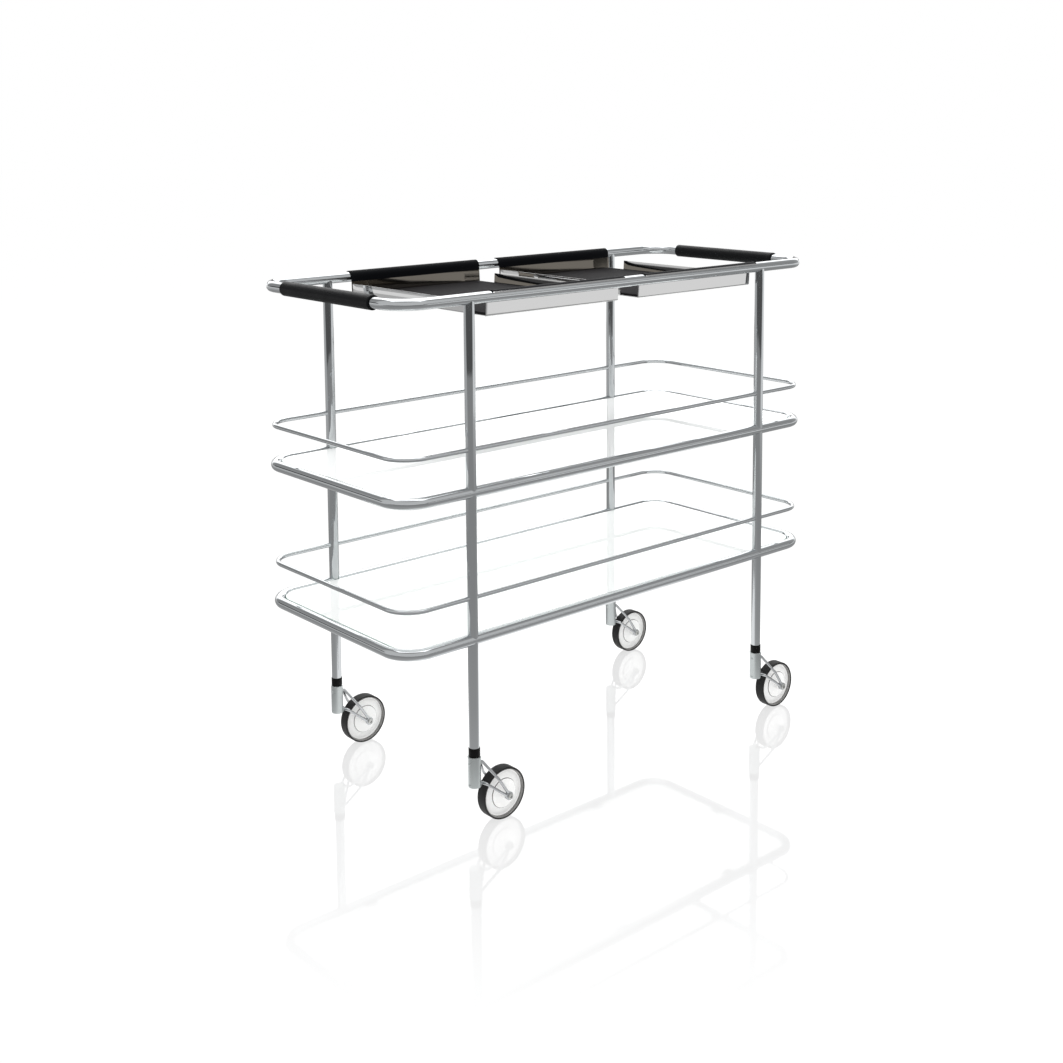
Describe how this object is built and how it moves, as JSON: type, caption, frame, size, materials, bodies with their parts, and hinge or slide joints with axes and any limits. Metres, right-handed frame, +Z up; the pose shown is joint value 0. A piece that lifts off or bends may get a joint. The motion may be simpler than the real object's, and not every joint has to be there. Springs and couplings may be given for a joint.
{
  "type": "bar cart",
  "caption": "Bar cart of chromed tube on swivel casters, with glass shelves inside gallery rods, padded grips and sheet metal trays that slide along the top rail.",
  "frame": {"origin": "on the floor under the middle of the cart", "axes": "+X along the cart towards the right grip, +Y towards its back, +Z up"},
  "size_m": [1.013, 0.4652, 0.903],
  "materials": {
    "polished_chrome": "mirror polished plating",
    "polished_steel": "polished sheet",
    "shelf_glass": "etched float glass, satin white",
    "clear_pad": "soft translucent",
    "grip_leather": "smooth black",
    "tray_mat": "matte",
    "collar_plastic": "satin black",
    "housing_metal": "satin",
    "wheel_metal": "polished",
    "axle_steel": "zinc plated",
    "tyre_rubber": "matte"
  },
  "bodies": {
    "cart_frame": {"top_rail": "polished_chrome", "upper_shelf_ring": "polished_chrome", "upper_glass_shelf": "shelf_glass", "upper_shelf_tabs": "polished_chrome", "upper_shelf_pads": "clear_pad", "upper_front_rod": "polished_chrome", "upper_back_rod": "polished_chrome", "upper_left_loop": "polished_chrome", "upper_right_loop": "polished_chrome", "lower_shelf_ring": "polished_chrome", "lower_glass_shelf": "shelf_glass", "lower_shelf_tabs": "polished_chrome", "lower_shelf_pads": "clear_pad", "lower_front_rod": "polished_chrome", "lower_back_rod": "polished_chrome", "lower_left_loop": "polished_chrome", "lower_right_loop": "polished_chrome", "left_grip": "grip_leather", "right_grip": "grip_leather", "front_left_leg": "polished_chrome", "front_left_collar": "collar_plastic", "front_left_stem": "axle_steel", "front_right_leg": "polished_chrome", "front_right_collar": "collar_plastic", "front_right_stem": "axle_steel", "back_left_leg": "polished_chrome", "back_left_collar": "collar_plastic", "back_left_stem": "axle_steel", "back_right_leg": "polished_chrome", "back_right_collar": "collar_plastic", "back_right_stem": "axle_steel"},
    "front_left_caster": {"front_left_housing": "housing_metal", "front_left_fork": "polished_chrome", "front_left_axle": "axle_steel", "front_left_axle_sleeve": "axle_steel"},
    "front_left_roller": {"front_left_wheel": "wheel_metal", "front_left_tyre": "tyre_rubber"},
    "front_right_caster": {"front_right_housing": "housing_metal", "front_right_fork": "polished_chrome", "front_right_axle": "axle_steel", "front_right_axle_sleeve": "axle_steel"},
    "front_right_roller": {"front_right_wheel": "wheel_metal", "front_right_tyre": "tyre_rubber"},
    "back_left_caster": {"back_left_housing": "housing_metal", "back_left_fork": "polished_chrome", "back_left_axle": "axle_steel", "back_left_axle_sleeve": "axle_steel"},
    "back_left_roller": {"back_left_wheel": "wheel_metal", "back_left_tyre": "tyre_rubber"},
    "back_right_caster": {"back_right_housing": "housing_metal", "back_right_fork": "polished_chrome", "back_right_axle": "axle_steel", "back_right_axle_sleeve": "axle_steel"},
    "back_right_roller": {"back_right_wheel": "wheel_metal", "back_right_tyre": "tyre_rubber"},
    "left_tray_body": {"left_tray": "polished_steel", "left_tray_mat": "tray_mat"},
    "right_tray_body": {"right_tray": "polished_steel", "right_tray_mat": "tray_mat"}
  },
  "joints": [
    {"name": "front_left_swivel", "type": "hinge", "parent": "cart_frame", "child": "front_left_caster", "pos_m": [-0.356, -0.206, 0.1247], "axis": [0, 0, 1], "continuous": true},
    {"name": "front_left_roll", "type": "hinge", "parent": "front_left_caster", "child": "front_left_roller", "pos_m": [-0.299, -0.206, 0.0445], "axis": [0, 1, 0], "continuous": true},
    {"name": "front_right_swivel", "type": "hinge", "parent": "cart_frame", "child": "front_right_caster", "pos_m": [0.356, -0.206, 0.1247], "axis": [0, 0, 1], "continuous": true},
    {"name": "front_right_roll", "type": "hinge", "parent": "front_right_caster", "child": "front_right_roller", "pos_m": [0.413, -0.206, 0.0445], "axis": [0, 1, 0], "continuous": true},
    {"name": "back_left_swivel", "type": "hinge", "parent": "cart_frame", "child": "back_left_caster", "pos_m": [-0.356, 0.206, 0.1247], "axis": [0, 0, 1], "continuous": true},
    {"name": "back_left_roll", "type": "hinge", "parent": "back_left_caster", "child": "back_left_roller", "pos_m": [-0.299, 0.206, 0.0445], "axis": [0, 1, 0], "continuous": true},
    {"name": "back_right_swivel", "type": "hinge", "parent": "cart_frame", "child": "back_right_caster", "pos_m": [0.356, 0.206, 0.1247], "axis": [0, 0, 1], "continuous": true},
    {"name": "back_right_roll", "type": "hinge", "parent": "back_right_caster", "child": "back_right_roller", "pos_m": [0.413, 0.206, 0.0445], "axis": [0, 1, 0], "continuous": true},
    {"name": "left_tray_slide", "type": "slide", "parent": "cart_frame", "child": "left_tray_body", "axis": [1, 0, 0], "range_m": [-0.131, 0.048]},
    {"name": "right_tray_slide", "type": "slide", "parent": "cart_frame", "child": "right_tray_body", "axis": [1, 0, 0], "range_m": [-0.048, 0.104]}
  ]
}
